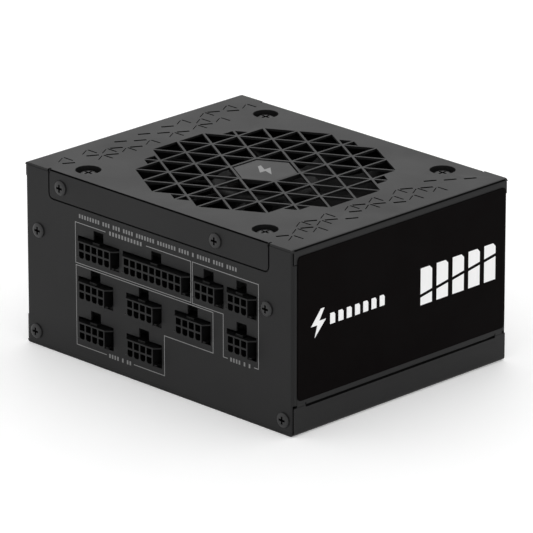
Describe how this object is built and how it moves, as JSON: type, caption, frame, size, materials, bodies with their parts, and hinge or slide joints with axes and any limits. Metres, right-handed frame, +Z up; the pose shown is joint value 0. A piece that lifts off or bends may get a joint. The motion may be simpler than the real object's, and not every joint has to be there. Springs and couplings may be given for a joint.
{
  "type": "power supply unit",
  "caption": "Compact modular computer power supply: sheet-steel case with a triangular fan grille, sockets for cables, a mains inlet and a rocker switch.",
  "frame": {"origin": "middle of the case's underside, on the base mount", "axes": "+Z up through the fan grille, +Y out of the mains side, -Y out of the modular sockets, X across the 125 mm width"},
  "size_m": [0.1256, 0.1046, 0.0635],
  "materials": {
    "coated_steel": "fine matt black powder coat on sheet steel",
    "printed_film": "satin black printed film",
    "black_nylon": "moulded black nylon",
    "circuit_laminate": "dark green solder mask on glass laminate",
    "black_zinc": "black zinc plated steel",
    "bright_metal": "bare aluminium and tinned brass",
    "fan_plastic": "moulded black fan plastic",
    "capacitor_sleeve": "shrunk dark sleeve",
    "ferrite": "dark ferrite with taped windings",
    "enamelled_copper": "enamelled copper wire",
    "insulating_film": "translucent insulating sheet"
  },
  "bodies": {
    "case": {"chassis_tray": "coated_steel", "connector_panel": "coated_steel", "top_cover": "coated_steel", "grille_badge": "printed_film", "side_label_right": "printed_film", "side_label_left": "printed_film", "socket_10_pin": "black_nylon", "socket_18_pin": "black_nylon", "socket_6_pin_1": "black_nylon", "socket_6_pin_2": "black_nylon", "socket_8_pin_1": "black_nylon", "socket_8_pin_2": "black_nylon", "socket_8_pin_3": "black_nylon", "socket_6_pin_3": "black_nylon", "socket_8_pin_4": "black_nylon", "socket_8_pin_5": "black_nylon", "modular_board": "circuit_laminate", "board_spacer_left": "bright_metal", "board_spacer_right": "bright_metal", "flap_screw_front_left": "black_zinc", "flap_screw_front_right": "black_zinc", "flap_screw_rear_left": "black_zinc", "flap_screw_rear_right": "black_zinc", "panel_screw_1": "black_zinc", "panel_screw_2": "black_zinc", "panel_screw_3": "black_zinc", "panel_screw_4": "black_zinc", "board_screw_1": "black_zinc", "board_screw_2": "black_zinc", "board_screw_3": "black_zinc", "board_screw_4": "black_zinc", "fan_screw_1": "black_zinc", "fan_screw_2": "black_zinc", "fan_screw_3": "black_zinc", "fan_screw_4": "black_zinc", "fan_frame": "fan_plastic", "fan_bearing": "bright_metal", "fan_stator": "enamelled_copper", "fan_header": "black_nylon", "fan_plug": "black_nylon", "fan_lead": "black_nylon", "inlet_shell": "black_nylon", "inlet_pin_line": "bright_metal", "inlet_pin_neutral": "bright_metal", "inlet_pin_earth": "bright_metal", "switch_frame": "black_nylon", "main_board": "circuit_laminate", "insulating_sheet": "insulating_film", "bulk_capacitor": "capacitor_sleeve", "main_transformer": "ferrite", "resonant_inductor": "ferrite", "pfc_choke": "enamelled_copper", "common_mode_choke": "enamelled_copper", "x_capacitor": "insulating_film", "bridge_rectifier": "black_nylon", "primary_heatsink": "bright_metal", "secondary_heatsink": "bright_metal"},
    "fan_rotor": {"fan_rotor": "fan_plastic", "fan_shaft": "bright_metal"},
    "switch_rocker": {"switch_rocker": "black_nylon"}
  },
  "joints": [
    {"name": "fan_spin", "type": "hinge", "parent": "case", "child": "fan_rotor", "pos_m": [0, 0, 0.05325], "axis": [0, 0, 1], "continuous": true},
    {"name": "power_switch", "type": "hinge", "parent": "case", "child": "switch_rocker", "pos_m": [-0.005, 0.04725, 0.024], "axis": [1, 0, 0], "range_deg": [0, 24]}
  ]
}
